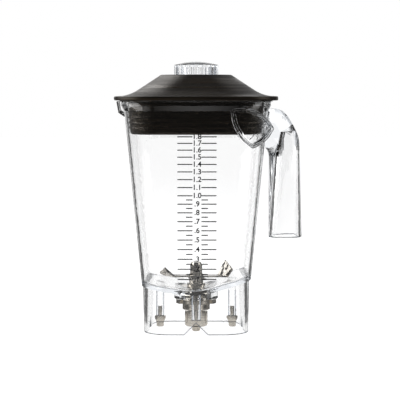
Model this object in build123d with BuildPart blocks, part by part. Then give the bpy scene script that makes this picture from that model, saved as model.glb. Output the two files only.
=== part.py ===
"""Clear blender jar with a black lid, a filler cap, a cutter and the drive that turns it.

The origin is on the table under the middle of the jar. +Z is up, +X points to the handle and -Y to the
front wall. Lengths are in millimetres and angles in degrees.
"""
import os
from math import atan2, cos, degrees, radians, sin, tan

from build123d import *

os.makedirs("parts", exist_ok=True)

# Jar body: four flat walls that lean outwards, with round corners
rim_z = 226.0
foot_z = 43.0
foot_half = 53.0
wall_lean = 5.4
wall = 2.8
corner_low = 26.0
corner_high = 30.0

# Rim lip
lip_out = 2.0
lip_height = 4.0
lip_flare_height = 5.0
rim_round = 0.9

# Floor: two slopes that meet in a rounded valley along Y
floor_vertex_z = 41.0
floor_slope_left = 9.4
floor_slope_right = 16.0
valley_radius = 60.0
floor_thick = 4.0
floor_round = 3.0

# Skirt under the body
skirt_step = 0.9
skirt_lean = 1.0
skirt_wall = 3.0
notch_width = 23.0
notch_height = 11.5
foot_round = 0.6

# Spout on the left wall
spout_reach = 79.0
spout_lean = 2.0
spout_bottom_z = 209.0
spout_turn_z = 214.5
spout_half_width = 25.0
spout_tip_half = 8.0
spout_tip_round = 0.8
spout_wall = 2.6

# Handle: a hollow grip that hangs from an arm, open at its lower end
grip_half_depth = 24.0
grip_end_z = 92.0
grip_inner_x = 71.6
grip_outer_x = 102.0
grip_outer_lean = 1.6
grip_shoulder_z = 182.0
grip_bend_drop = 14.0
arm_top_drop = 7.0
arm_start_x = 76.0
arm_bend = ((90.5, 211.0), (98.5, 197.0))
arm_under_drop = 40.0
grip_outer_round = 14.0
grip_inner_round = 12.0
grip_wall = 3.0
grip_end_round = 0.8
core_round = 11.0
core_top_z = 178.0
core_dome_z = 196.0
core_draft = 3.2
core_taper = 2.0
core_dome_inset = 14.0

# Lobes where the arm spreads over the two corners of the jar
lobe_root = (34.4, 217.5)
lobe_tip = (73.5, 200.0)
lobe_foot = (54.0, 183.0)
lobe_top_bow = 8.3
lobe_left_bow = 5.2
lobe_foot_bow = 2.5
lobe_rim = 3.4
lobe_web = 5.0
lobe_round = 1.2
lobe_stand_out = 0.8
lobe_swell_x = 48.0
lobe_turn_out = 5.0
lobe_turn_length = 24.0

# Posts and the studs in them
post_circle = 36.7
post_r = 4.4
post_foot_z = 13.0
stud_shank_r = 1.5
stud_shank_length = 10.0
stud_collar_r = 6.0
stud_cone_r = 7.0
stud_collar_low_r = 4.5
stud_collar_low_z = 7.5
stud_ring_height = 0.8
stud_neck_r = 3.2
stud_pin_r = 4.0
stud_pin_end_z = 2.2
stud_chamfer = 0.8
stud_fit = 0.05

# Drive: seat in the floor, housing, bearings and coupling
boss_r = 22.0
boss_foot_z = 31.0
seat_r = 18.6
seat_z = 38.5
gasket_thick = 1.2
housing_flange_r = 17.75
housing_flange_thick = 2.6
housing_neck_r = 9.0
housing_neck_height = 2.7
housing_stem_r = 11.0
housing_foot_z = 19.0
bearing_r = 9.5
bearing_width = 6.0
bearing_top_z = 39.4
bearing_race_gap = 6.0
seal_r = 7.0
seal_height = 3.0
seal_step_r = 6.0
race_spacer_r = 6.0
snap_ring_thick = 1.2
snap_ring_inner_r = 7.4
shaft_r = 4.0
shaft_foot_z = 11.5
shaft_flat_half = 3.2
shaft_chamfer = 0.6
running_fit = 0.04
seat_fit = 0.05
face_gap = 0.1
nut_washer_thick = 1.0
nut_washer_r = 16.5
nut_flange_r = 20.25
nut_flange_thick = 3.9
nut_hub_r = 13.75
nut_foot_z = 19.5
nut_notch_count = 8
nut_notch_width = 5.0
nut_notch_depth = 2.4
nut_chamfer = 0.5
coupling_r = 11.5
coupling_foot_z = 2.5
coupling_top_z = 18.0
coupling_round = 2.5
coupling_socket_r = 6.5
coupling_socket_depth = 7.0
spline_count = 6
spline_width = 2.4

# Cutter
lower_blade_z = 49.8
blade_thick = 1.5
spacer_r = 7.0
washer_r = 7.3
washer_thick = 1.2
nut_across_flats = 10.4
blade_nut_height = 12.0
blade_nut_dome = 2.0
blade_nut_top_r = 4.6
nut_thread_r = 3.2
arm_half_width = 6.5
arm_reach = 32.0
lower_hub_r = 8.0
lower_heel_x = 10.0
lower_heel_y = 17.4
lower_tip_x = 4.0
lower_tip_y = 20.5
fold_root_x = 21.5
left_fold_angle = 50.0
left_tip_share = 0.44
left_tip_rise = 11.8
left_heel_share = 1.3
left_heel_rise = 4.0
right_fold_angle = 64.0
right_tip_share = 0.25
right_tip_rise = 17.2
right_heel_share = 1.2
right_heel_rise = 9.0

# Lid
lid_seat_half = 74.0
lid_seat_height = 1.0
lid_rim_overhang = 5.2
lid_rim_half = lid_seat_half + lid_rim_overhang
lid_rim_corner = 38.0
lid_rim_thick = 4.0
lid_flank_half = 57.0
lid_flank_rise = 11.0
lid_flank_corner = 34.0
lid_top_half = 34.7
lid_rise = 26.0
lid_top_corner = 30.0
lid_shell = 4.8
lid_rim_round = 1.2
lid_top_round = 2.0
lid_neck_round = 0.8
flare_steps = 4
plug_depth = 31.5
plug_gap = 1.2
plug_wall = 5.5
plug_edge_round = 3.0
rib_top_depth = 14.0
rib_pitch = 5.0
rib_count = 3
rib_out = 0.9
rib_height = 1.8

# Filler cap
cap_head_r = 22.0
cap_head_wall = 3.0
cap_round = 0.8
cap_head_height = 10.0
cap_dome = 3.0
cap_flute_count = 16
cap_flute_r = 4.0
cap_flute_depth = 1.2
cap_stem_r = 17.2
cap_stem_wall = 2.4
cap_stem_length = 14.0
cap_plate = 2.6
cap_fit = 0.3
neck_wall = 3.0


# Heights that follow from the rim
arm_top_z = rim_z - arm_top_drop
arm_under_z = rim_z - arm_under_drop
grip_inner_top_z = arm_under_z - grip_bend_drop
plug_foot_z = rim_z - plug_depth
lid_flank_z = rim_z + lid_flank_rise
lid_top_z = rim_z + lid_rise
cap_shoulder_z = lid_top_z + cap_head_height
cap_stem_foot_z = lid_top_z - cap_stem_length

# Round solids stand on the point where they are placed
stand_on = (Align.CENTER, Align.CENTER, Align.MIN)


def lean_out(lean, height):
    """Sideways travel of a wall with this lean over this height."""
    return height * tan(radians(lean))


def body_half(z):
    """Half width of the body's outside at a height."""
    return foot_half + lean_out(wall_lean, z - foot_z)


def body_corner(z):
    """Corner radius of the body's outside at a height."""
    return corner_low + (corner_high - corner_low) * (z - foot_z) / (rim_z - foot_z)


def square_at(z, inset=0.0):
    """Draw the body's outline at a height, drawn in by an inset."""
    side = 2 * (body_half(z) - inset)
    RectangleRounded(side, side, body_corner(z) - inset)


def floor_wedge(drop):
    """Draw everything under the floor's surface, lowered by a drop, as an outline in XZ."""
    reach = foot_half + 4 * floor_thick
    left = (-reach, floor_vertex_z - drop + lean_out(floor_slope_left, reach))
    right = (reach, floor_vertex_z - drop + lean_out(floor_slope_right, reach))
    with BuildLine() as outline:
        FilletPolyline(left, (0, floor_vertex_z - drop), right, radius=valley_radius)
        Polyline(right, (reach, -rim_z), (-reach, -rim_z), left)
    make_face(outline.edges())


def spout_outline(tip_x, half_width, inset):
    """Draw the spout's plan: a blunt wedge with a round tip that points along -X."""
    root_x = body_half(spout_bottom_z) - 4 * wall
    tip_half = spout_tip_half - inset / 2
    with BuildLine() as outline:
        Polyline((-root_x, half_width), (-tip_x, tip_half), (-tip_x, -tip_half), (-root_x, -half_width),
                 close=True)
    make_face(outline.edges())
    fillet(vertices().group_by(Axis.X)[0], radius=tip_half * spout_tip_round)


def lobe_outline():
    """Draw the leaf-shaped outline of a lobe, seen from the front."""
    with BuildLine() as outline:
        SagittaArc(lobe_root, lobe_tip, lobe_top_bow)
        SagittaArc(lobe_tip, lobe_foot, lobe_foot_bow)
        SagittaArc(lobe_foot, lobe_root, lobe_left_bow)
    make_face(outline.edges())


def lobe_plan(z):
    """Draw the plan of the handle's root at a height: it swells round each corner, then draws in."""
    root_x = lobe_root[0] - 4 * lobe_stand_out
    wall_y = body_half(z) + lobe_stand_out
    turn = (body_half(z) + lobe_turn_out, -body_half(z) + lobe_turn_length)
    grip = (turn[0] + lobe_turn_length / 2, -grip_half_depth)
    with BuildLine() as outline:
        Line((root_x, 0), (root_x, -wall_y))
        Line((root_x, -wall_y), (lobe_swell_x, -wall_y))
        swell = TangentArc((lobe_swell_x, -wall_y), turn, tangent=(1, 0))
        TangentArc(turn, grip, tangent=swell % 1)
        Line(grip, (grip[0], 0))
        mirror(about=Plane.XZ)
    make_face(outline.edges())


def edges_at(z):
    """Edges of the solid in hand that lie flat at a height."""
    return edges().filter_by(lambda edge: abs(edge.bounding_box().min.Z - z) < face_gap
                             and abs(edge.bounding_box().max.Z - z) < face_gap)


# Inside of the jar
over_rim = 5.0
inside_foot_z = floor_vertex_z - floor_thick
with BuildPart() as hollow:
    with BuildSketch(Plane.XY.offset(inside_foot_z)):
        square_at(inside_foot_z, wall)
    with BuildSketch(Plane.XY.offset(rim_z + over_rim)):
        square_at(rim_z + over_rim, wall)
    loft()
    with BuildSketch(Plane.XZ):
        floor_wedge(0)
    extrude(amount=2 * foot_half, both=True, mode=Mode.SUBTRACT)
    floor_edges = edges().filter_by(lambda edge: edge.bounding_box().max.Z < foot_z + foot_half
                                    and max(abs(edge.center().X), abs(edge.center().Y)) > foot_half / 2)
    fillet(floor_edges, radius=floor_round)
    with BuildSketch(Plane.XY.offset(spout_bottom_z + 1.5 * spout_wall)):
        spout_outline(body_half(spout_bottom_z) - wall, spout_half_width - 2 * spout_wall, spout_wall)
    with BuildSketch(Plane.XY.offset(spout_turn_z + spout_wall)):
        spout_outline(spout_reach - spout_lean - spout_wall, spout_half_width - spout_wall, spout_wall)
    with BuildSketch(Plane.XY.offset(rim_z + over_rim)):
        spout_outline(spout_reach - spout_wall, spout_half_width - spout_wall, spout_wall)
    loft(ruled=True)

# Outside of the jar's walls, cut off under the floor
with BuildPart() as walls:
    with BuildSketch(Plane.XY.offset(inside_foot_z - 2 * floor_thick)):
        square_at(inside_foot_z - 2 * floor_thick)
    with BuildSketch(Plane.XY.offset(rim_z)):
        square_at(rim_z)
    loft()
    with BuildSketch(Plane.XZ):
        floor_wedge(floor_thick)
    extrude(amount=2 * foot_half, both=True, mode=Mode.SUBTRACT)

# Lobes with a pocket on each side of a middle web
lobe_depth = body_half(rim_z) + 4 * lip_out
lobe_plan_z = lobe_foot[1] - lobe_foot_bow
with BuildPart() as spread:
    with BuildSketch(Plane.XY.offset(lobe_plan_z)):
        lobe_plan(lobe_plan_z)
    with BuildSketch(Plane.XY.offset(rim_z)):
        lobe_plan(rim_z)
    loft()
with BuildPart() as lobes:
    with BuildSketch(Plane.XZ):
        lobe_outline()
    extrude(amount=lobe_depth, both=True)
    for side in (1, -1):
        with BuildSketch(Plane.XZ.offset(side * lobe_depth)):
            lobe_outline()
            offset(amount=-lobe_rim, mode=Mode.REPLACE)
        extrude(amount=-side * (lobe_depth - lobe_web / 2), mode=Mode.SUBTRACT)
    add(spread.part, mode=Mode.INTERSECT)
    curved_edges = edges().filter_by(GeomType.LINE, reverse=True)
    fillet(curved_edges.filter_by(lambda edge: abs(edge.center().Y) > grip_half_depth), radius=lobe_round)

# Arm and grip with the core that hollows the grip from below
grip_end_x = grip_outer_x + lean_out(grip_outer_lean, grip_shoulder_z - grip_end_z)
arm_root_x = body_half(arm_under_z) - 2 * wall
core_low = grip_inner_x + grip_wall
core_high = grip_end_x - grip_wall
core_long = core_high - core_low
core_wide = 2 * (grip_half_depth - grip_wall)
shrink = lean_out(core_draft, core_top_z - grip_end_z)
core_top_x = (core_low + core_high + shrink - core_taper) / 2
with BuildPart() as handle:
    with BuildSketch(Plane.XZ):
        with BuildLine():
            Line((arm_root_x, arm_top_z), (arm_start_x, arm_top_z))
            Spline((arm_start_x, arm_top_z), *arm_bend, (grip_outer_x, grip_shoulder_z),
                   tangents=((1, 0), (lean_out(grip_outer_lean, 1), -1)))
            Polyline((grip_outer_x, grip_shoulder_z), (grip_end_x, grip_end_z), (grip_inner_x, grip_end_z),
                     (grip_inner_x, grip_inner_top_z))
            Spline((grip_inner_x, grip_inner_top_z), (arm_root_x, arm_under_z), tangents=((0, 1), (-1, 1)))
            Line((arm_root_x, arm_under_z), (arm_root_x, arm_top_z))
        make_face()
    extrude(amount=grip_half_depth, both=True)
    side_edges = [face.edges() for face in faces().filter_by(Axis.Y)]
    outer_edges = [edge for edges in side_edges for edge in edges if edge.center().X > core_low
                   and edge.center().Z > grip_end_z + face_gap]
    fillet(outer_edges, radius=grip_outer_round)
    inner_edges = edges().filter_by(lambda edge: abs(abs(edge.center().Y) - grip_half_depth) < face_gap
                                    and abs(edge.center().X - grip_inner_x) < face_gap)
    fillet(inner_edges, radius=grip_inner_round)
    with BuildSketch(Plane.XY.offset(grip_end_z)):
        with Locations(((core_low + core_high) / 2, 0)):
            RectangleRounded(core_long, core_wide, core_round)
    with BuildSketch(Plane.XY.offset(core_top_z)):
        with Locations((core_top_x, 0)):
            RectangleRounded(core_long - shrink - core_taper, core_wide - shrink, core_round - shrink / 2)
    with BuildSketch(Plane.XY.offset(core_dome_z)):
        with Locations((core_top_x, 0)):
            RectangleRounded(core_long - core_dome_inset, core_wide - core_dome_inset, core_round / 3)
    loft(ruled=True, mode=Mode.SUBTRACT)

# Jar: walls, floor, skirt, posts, rim, spout and handle in one moulding
with BuildPart() as jar:
    add(handle.part)
    add(lobes.part)
    add(walls.part)
    lip_half = body_half(rim_z) + lip_out
    with BuildSketch(Plane.XY.offset(rim_z - lip_height - lip_flare_height)):
        square_at(rim_z - lip_height - lip_flare_height)
    with BuildSketch(Plane.XY.offset(rim_z - lip_height)):
        RectangleRounded(2 * lip_half, 2 * lip_half, body_corner(rim_z) + lip_out)
    loft()
    with BuildSketch(Plane.XY.offset(rim_z - lip_height)):
        RectangleRounded(2 * lip_half, 2 * lip_half, body_corner(rim_z) + lip_out)
    extrude(amount=lip_height)
    with BuildSketch(Plane.XY.offset(spout_bottom_z)):
        spout_outline(body_half(spout_bottom_z), spout_half_width - spout_wall, 0)
    with BuildSketch(Plane.XY.offset(spout_turn_z)):
        spout_outline(spout_reach - spout_lean, spout_half_width, 0)
    with BuildSketch(Plane.XY.offset(rim_z)):
        spout_outline(spout_reach, spout_half_width, 0)
    loft(ruled=True)
    skirt_top_half = foot_half - skirt_step
    skirt_foot_half = skirt_top_half - lean_out(skirt_lean, foot_z)
    with BuildSketch():
        RectangleRounded(2 * skirt_foot_half, 2 * skirt_foot_half, corner_low)
        offset(amount=-skirt_wall, mode=Mode.SUBTRACT)
    extrude(amount=foot_z + 2 * floor_thick, taper=-skirt_lean)
    with Locations((0, 0, boss_foot_z)):
        Cylinder(boss_r, foot_z - boss_foot_z + floor_thick, align=stand_on)
    with Locations((0, 0, post_foot_z)):
        with PolarLocations(post_circle, 4):
            Cylinder(post_r, foot_z - post_foot_z + floor_thick, align=stand_on)
    add(hollow.part, mode=Mode.SUBTRACT)
    with BuildSketch(Plane.XY.offset(seat_z)):
        Circle(seat_r)
    extrude(amount=foot_z, mode=Mode.SUBTRACT)
    with BuildSketch(Plane.XY.offset(boss_foot_z)):
        Circle(housing_stem_r + seat_fit)
    extrude(amount=foot_z, mode=Mode.SUBTRACT)
    with BuildSketch(Plane.XY.offset(post_foot_z)):
        with PolarLocations(post_circle, 4):
            Circle(stud_shank_r + stud_fit)
    extrude(amount=stud_shank_length, mode=Mode.SUBTRACT)
    for plane in (Plane.XZ, Plane.YZ):
        with BuildSketch(plane):
            Polygon((-notch_width / 2, 0), (notch_width / 2, 0), (0, notch_height), align=None)
        extrude(amount=2 * foot_half, both=True, mode=Mode.SUBTRACT)
    for level, radius in ((rim_z, rim_round), (grip_end_z, grip_end_round), (0, foot_round)):
        fillet(edges_at(level), radius=radius)
jar.part.label = "jar"
export_step(jar.part, "parts/jar.step")

# Studs in the posts, each with a dark ring in its groove
ring_foot_z = stud_collar_low_z - stud_ring_height
stud_places = {"right": 0, "back": 90, "left": 180, "front": 270}
for place, angle in stud_places.items():
    centre = Vector(post_circle, 0, 0).rotate(Axis.Z, angle)
    with BuildPart() as stud:
        with BuildSketch(Plane.XY.offset(stud_collar_low_z)):
            with Locations((centre.X, centre.Y)):
                RegularPolygon(stud_collar_r, 6, rotation=angle)
        extrude(amount=post_foot_z - stud_collar_low_z)
        with Locations((centre.X, centre.Y, stud_collar_low_z)):
            Cone(stud_collar_low_r, stud_cone_r, post_foot_z - stud_collar_low_z, align=stand_on,
                 mode=Mode.INTERSECT)
        with Locations((centre.X, centre.Y, post_foot_z)):
            Cylinder(stud_shank_r, stud_shank_length - face_gap, align=stand_on)
        with Locations((centre.X, centre.Y, ring_foot_z)):
            Cylinder(stud_neck_r, stud_ring_height, align=stand_on)
        with Locations((centre.X, centre.Y, stud_pin_end_z)):
            Cylinder(stud_pin_r, ring_foot_z - stud_pin_end_z, align=stand_on)
        chamfer(edges().group_by(Axis.Z)[0], length=stud_chamfer)
    stud.part.label = f"stud_{place}"
    export_step(stud.part, f"parts/stud_{place}.step")

    with BuildPart() as ring:
        with BuildSketch(Plane.XY.offset(ring_foot_z)):
            with Locations((centre.X, centre.Y)):
                Circle(stud_collar_low_r)
                Circle(stud_neck_r, mode=Mode.SUBTRACT)
        extrude(amount=stud_ring_height)
    ring.part.label = f"ring_{place}"
    export_step(ring.part, f"parts/ring_{place}.step")


def ring_between(inner_r, outer_r, low_z, high_z):
    """Add a plain ring round the Z axis."""
    with BuildSketch(Plane.XY.offset(low_z)) as ring_plan:
        Circle(outer_r)
        Circle(inner_r, mode=Mode.SUBTRACT)
    extrude(ring_plan.sketch, amount=high_z - low_z)


# Housing that carries the shaft through the floor
flange_z = seat_z + gasket_thick
flange_top_z = flange_z + housing_flange_thick
neck_top_z = flange_top_z + housing_neck_height
lower_bearing_top_z = bearing_top_z - bearing_width - bearing_race_gap
snap_ring_top_z = lower_bearing_top_z - bearing_width
with BuildPart() as bearing_housing:
    with BuildSketch(Plane.XZ):
        with BuildLine():
            Polyline((bearing_r, housing_foot_z), (housing_stem_r, housing_foot_z),
                     (housing_stem_r, flange_z), (housing_flange_r, flange_z),
                     (housing_flange_r, flange_top_z), (housing_neck_r, flange_top_z),
                     (housing_neck_r, neck_top_z), (seal_r, neck_top_z),
                     (seal_r, neck_top_z - seal_height), (seal_step_r, neck_top_z - seal_height),
                     (seal_step_r, bearing_top_z), (bearing_r, bearing_top_z), close=True)
        make_face()
    revolve(axis=Axis.Z)
bearing_housing.part.label = "bearing_housing"
export_step(bearing_housing.part, "parts/bearing_housing.step")

# Seal, bearings, spacers and rings inside and under the housing
with BuildPart() as shaft_seal:
    ring_between(shaft_r + running_fit, seal_r, neck_top_z - seal_height, neck_top_z)
shaft_seal.part.label = "shaft_seal"
export_step(shaft_seal.part, "parts/shaft_seal.step")

race_middle_r = (bearing_r + shaft_r) / 2
race_groove = (bearing_r - shaft_r) / 3
for name, top_z in (("upper_bearing", bearing_top_z), ("lower_bearing", lower_bearing_top_z)):
    with BuildPart() as bearing:
        ring_between(shaft_r + running_fit, bearing_r, top_z - bearing_width, top_z)
        with BuildSketch(Plane.XZ):
            with Locations((race_middle_r, top_z), (race_middle_r, top_z - bearing_width)):
                Rectangle(race_groove, race_groove)
        revolve(axis=Axis.Z, mode=Mode.SUBTRACT)
    bearing.part.label = name
    export_step(bearing.part, f"parts/{name}.step")

with BuildPart() as bearing_spacer:
    ring_between(shaft_r, race_spacer_r, lower_bearing_top_z + face_gap,
                 lower_bearing_top_z + bearing_race_gap - face_gap)
bearing_spacer.part.label = "bearing_spacer"
export_step(bearing_spacer.part, "parts/bearing_spacer.step")

with BuildPart() as retaining_ring:
    ring_between(snap_ring_inner_r, bearing_r, snap_ring_top_z - snap_ring_thick, snap_ring_top_z)
retaining_ring.part.label = "retaining_ring"
export_step(retaining_ring.part, "parts/retaining_ring.step")

with BuildPart() as floor_gasket:
    ring_between(housing_stem_r, housing_flange_r, seat_z, flange_z)
floor_gasket.part.label = "floor_gasket"
export_step(floor_gasket.part, "parts/floor_gasket.step")

nut_top_z = boss_foot_z - nut_washer_thick
with BuildPart() as nut_washer:
    ring_between(housing_stem_r + seat_fit, nut_washer_r, nut_top_z, boss_foot_z)
nut_washer.part.label = "nut_washer"
export_step(nut_washer.part, "parts/nut_washer.step")

with BuildPart() as retaining_nut:
    ring_between(housing_stem_r, nut_flange_r, nut_top_z - nut_flange_thick, nut_top_z)
    ring_between(housing_stem_r, nut_hub_r, nut_foot_z, nut_top_z)
    with BuildSketch(Plane.XY.offset(nut_top_z - nut_flange_thick)):
        with PolarLocations(nut_flange_r, nut_notch_count):
            Rectangle(2 * nut_notch_depth, nut_notch_width)
    extrude(amount=nut_flange_thick, mode=Mode.SUBTRACT)
    chamfer(edges().group_by(Axis.Z)[0], length=nut_chamfer)
retaining_nut.part.label = "retaining_nut"
export_step(retaining_nut.part, "parts/retaining_nut.step")

# Coupling with a splined socket for the motor's drive
with BuildPart() as drive_coupling:
    with BuildSketch(Plane.XY.offset(coupling_foot_z)):
        Circle(coupling_r)
    extrude(amount=coupling_top_z - coupling_foot_z)
    fillet(edges().group_by(Axis.Z)[0], radius=coupling_round)
    with BuildSketch(Plane.XY.offset(coupling_foot_z)):
        Circle(coupling_socket_r)
        with PolarLocations(coupling_socket_r, spline_count):
            Rectangle(spline_width, spline_width)
    extrude(amount=coupling_socket_depth, mode=Mode.SUBTRACT)
    with BuildSketch(Plane.XY.offset(coupling_top_z)):
        Circle(shaft_r)
    extrude(amount=-(coupling_top_z - shaft_foot_z), mode=Mode.SUBTRACT)
drive_coupling.part.label = "drive_coupling"
export_step(drive_coupling.part, "parts/drive_coupling.step")

# Shaft with two flats for the blades and a thread for the blade nut
upper_blade_z = lower_blade_z + blade_thick
washer_z = upper_blade_z + blade_thick
blade_nut_z = washer_z + washer_thick
blade_nut_top_z = blade_nut_z + blade_nut_height
thread_top_z = blade_nut_top_z - blade_nut_dome
with BuildPart() as cutter_shaft:
    with BuildSketch(Plane.XY.offset(shaft_foot_z)):
        Circle(shaft_r)
    extrude(amount=lower_blade_z - shaft_foot_z)
    with BuildSketch(Plane.XY.offset(lower_blade_z)):
        Circle(shaft_r)
        Rectangle(2 * shaft_r, 2 * shaft_flat_half, mode=Mode.INTERSECT)
    extrude(amount=washer_z - lower_blade_z)
    with BuildSketch(Plane.XY.offset(washer_z)):
        Circle(nut_thread_r)
    extrude(amount=thread_top_z - washer_z - face_gap)
    chamfer(edges().group_by(Axis.Z)[-1], length=shaft_chamfer)
cutter_shaft.part.label = "cutter_shaft"
export_step(cutter_shaft.part, "parts/cutter_shaft.step")

with BuildPart() as blade_spacer:
    ring_between(shaft_r, spacer_r, neck_top_z + face_gap, lower_blade_z)
blade_spacer.part.label = "blade_spacer"
export_step(blade_spacer.part, "parts/blade_spacer.step")


def shaft_hole(low_z, high_z):
    """Cut the hole with two flats that keys a blade to the shaft."""
    with BuildSketch(Plane.XY.offset(low_z)) as hole:
        Circle(shaft_r)
        Rectangle(2 * shaft_r, 2 * shaft_flat_half, mode=Mode.INTERSECT)
    extrude(hole.sketch, amount=high_z - low_z, mode=Mode.SUBTRACT)


# Lower blade: a short flat bar that widens towards its two ends
with BuildPart() as lower_blade:
    with BuildSketch(Plane.XY.offset(lower_blade_z)):
        Circle(lower_hub_r)
        for turn in (0, 180):
            with Locations(Location((0, 0), turn)):
                Polygon((-arm_half_width, 0), (arm_half_width, 0), (lower_tip_x, lower_tip_y),
                        (-lower_heel_x, lower_heel_y), align=None)
    extrude(amount=blade_thick)
    shaft_hole(lower_blade_z, upper_blade_z)
lower_blade.part.label = "lower_blade"
export_step(lower_blade.part, "parts/lower_blade.step")


def folded_corner(side, fold_angle, corner_points):
    """Add the corner of the upper blade that is folded up along a slanting line.

    Each corner point is given along the fold line, as a share of its length, and up the folded face in mm.
    """
    root = Vector(side * fold_root_x, side * arm_half_width, upper_blade_z)
    tip = Vector(side * arm_reach, -side * arm_half_width, upper_blade_z)
    along = (tip - root).normalized()
    outward = Vector(0, 0, 1).cross(along)
    inside = Vector(0, 0, 1) * cos(radians(fold_angle)) - outward * sin(radians(fold_angle))
    points = [(share * (tip - root).length, rise) for share, rise in corner_points]
    with BuildSketch(Plane(origin=root, x_dir=along, z_dir=inside)) as corner:
        Polygon((0, 0), *points, ((tip - root).length, 0), align=None)
    extrude(corner.sketch, amount=blade_thick)


# Upper blade: a flat bar with one corner of each end folded up
with BuildPart() as upper_blade:
    with BuildSketch(Plane.XY.offset(upper_blade_z)):
        Polygon((fold_root_x, arm_half_width), (arm_reach, -arm_half_width),
                (-fold_root_x, -arm_half_width), (-arm_reach, arm_half_width), align=None)
    extrude(amount=blade_thick)
    left_points = ((left_tip_share, left_tip_rise), (left_heel_share, left_heel_rise))
    folded_corner(-1, left_fold_angle, left_points)
    right_points = ((right_tip_share, right_tip_rise), (right_heel_share, right_heel_rise))
    folded_corner(1, right_fold_angle, right_points)
    shaft_hole(upper_blade_z, washer_z)
upper_blade.part.label = "upper_blade"
export_step(upper_blade.part, "parts/upper_blade.step")

with BuildPart() as blade_washer:
    ring_between(nut_thread_r, washer_r, washer_z, blade_nut_z)
blade_washer.part.label = "blade_washer"
export_step(blade_washer.part, "parts/blade_washer.step")

with BuildPart() as blade_nut:
    with BuildSketch(Plane.XY.offset(blade_nut_z)):
        RegularPolygon(nut_across_flats / 2, 6, major_radius=False)
    extrude(amount=blade_nut_height)
    with Locations((0, 0, blade_nut_z)):
        Cone(nut_across_flats, blade_nut_top_r, blade_nut_height, align=stand_on, mode=Mode.INTERSECT)
    with BuildSketch(Plane.XY.offset(blade_nut_z)):
        Circle(nut_thread_r)
    extrude(amount=thread_top_z - blade_nut_z, mode=Mode.SUBTRACT)
blade_nut.part.label = "blade_nut"
export_step(blade_nut.part, "parts/blade_nut.step")


def lid_square(half, corner):
    """Draw a rounded square of the lid."""
    RectangleRounded(2 * half, 2 * half, corner)


# Lid: plug with sealing ribs, rim, flared flank and the neck for the filler cap
lid_rim_top_z = rim_z + lid_seat_height + lid_rim_thick
flank_slope = degrees(atan2(lid_top_z - lid_flank_z, lid_flank_half - lid_top_half))
flare_r = (lid_flank_z - lid_rim_top_z) / (1 - cos(radians(flank_slope)))
flare_half = lid_flank_half + flare_r * sin(radians(flank_slope))
with BuildPart() as lid:
    with BuildSketch(Plane.XY.offset(plug_foot_z)):
        square_at(plug_foot_z, wall + plug_gap)
    with BuildSketch(Plane.XY.offset(rim_z)):
        square_at(rim_z, wall + plug_gap)
    loft()
    fillet(edges().group_by(Axis.Z)[0], radius=plug_edge_round)
    for rib in range(rib_count):
        rib_foot_z = rim_z - rib_top_depth - rib * rib_pitch - rib_height
        with BuildSketch(Plane.XY.offset(rib_foot_z)):
            square_at(rib_foot_z, wall + plug_gap - rib_out)
        extrude(amount=rib_height)
    with BuildSketch(Plane.XY.offset(rim_z)):
        lid_square(lid_seat_half, lid_rim_corner)
    extrude(amount=lid_seat_height)
    with BuildSketch(Plane.XY.offset(rim_z + lid_seat_height)):
        lid_square(lid_rim_half, lid_rim_corner)
    extrude(amount=lid_rim_thick)
    fillet(edges().group_by(Axis.Z)[-1], radius=lid_rim_round)
    under_edges = edges_at(rim_z + lid_seat_height)
    fillet(under_edges.sort_by(Axis.X)[-1], radius=lid_rim_round)
    for step in range(flare_steps + 1):
        turn = radians(flank_slope) * step / flare_steps
        with BuildSketch(Plane.XY.offset(lid_rim_top_z + flare_r * (1 - cos(turn)))):
            lid_square(flare_half - flare_r * sin(turn),
                       lid_rim_corner + (lid_flank_corner - lid_rim_corner) * step / flare_steps)
    loft()
    with BuildSketch(Plane.XY.offset(lid_flank_z)):
        lid_square(lid_flank_half, lid_flank_corner)
    with BuildSketch(Plane.XY.offset(lid_top_z)):
        lid_square(lid_top_half, lid_top_corner)
    loft()
    fillet(edges_at(lid_top_z), radius=lid_top_round)
    with BuildSketch(Plane.XY.offset(plug_foot_z)):
        square_at(plug_foot_z, wall + plug_gap + plug_wall)
    with BuildSketch(Plane.XY.offset(rim_z)):
        square_at(rim_z, wall + plug_gap + plug_wall)
    with BuildSketch(Plane.XY.offset(lid_flank_z - lid_shell)):
        lid_square(lid_flank_half, lid_flank_corner)
    with BuildSketch(Plane.XY.offset(lid_top_z - lid_shell)):
        lid_square(lid_top_half, lid_top_corner)
    loft(ruled=True, mode=Mode.SUBTRACT)
    neck_r = cap_stem_r + cap_fit
    ring_between(neck_r, neck_r + neck_wall, cap_stem_foot_z, lid_top_z)
    with BuildSketch(Plane.XY.offset(cap_stem_foot_z)):
        Circle(neck_r)
    extrude(amount=lid_top_z - cap_stem_foot_z, mode=Mode.SUBTRACT)
    neck_edge = edges_at(lid_top_z).filter_by(GeomType.CIRCLE).sort_by(SortBy.RADIUS)[0]
    fillet(neck_edge, radius=lid_neck_round)
lid.part.label = "lid"
export_step(lid.part, "parts/lid.step")

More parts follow.
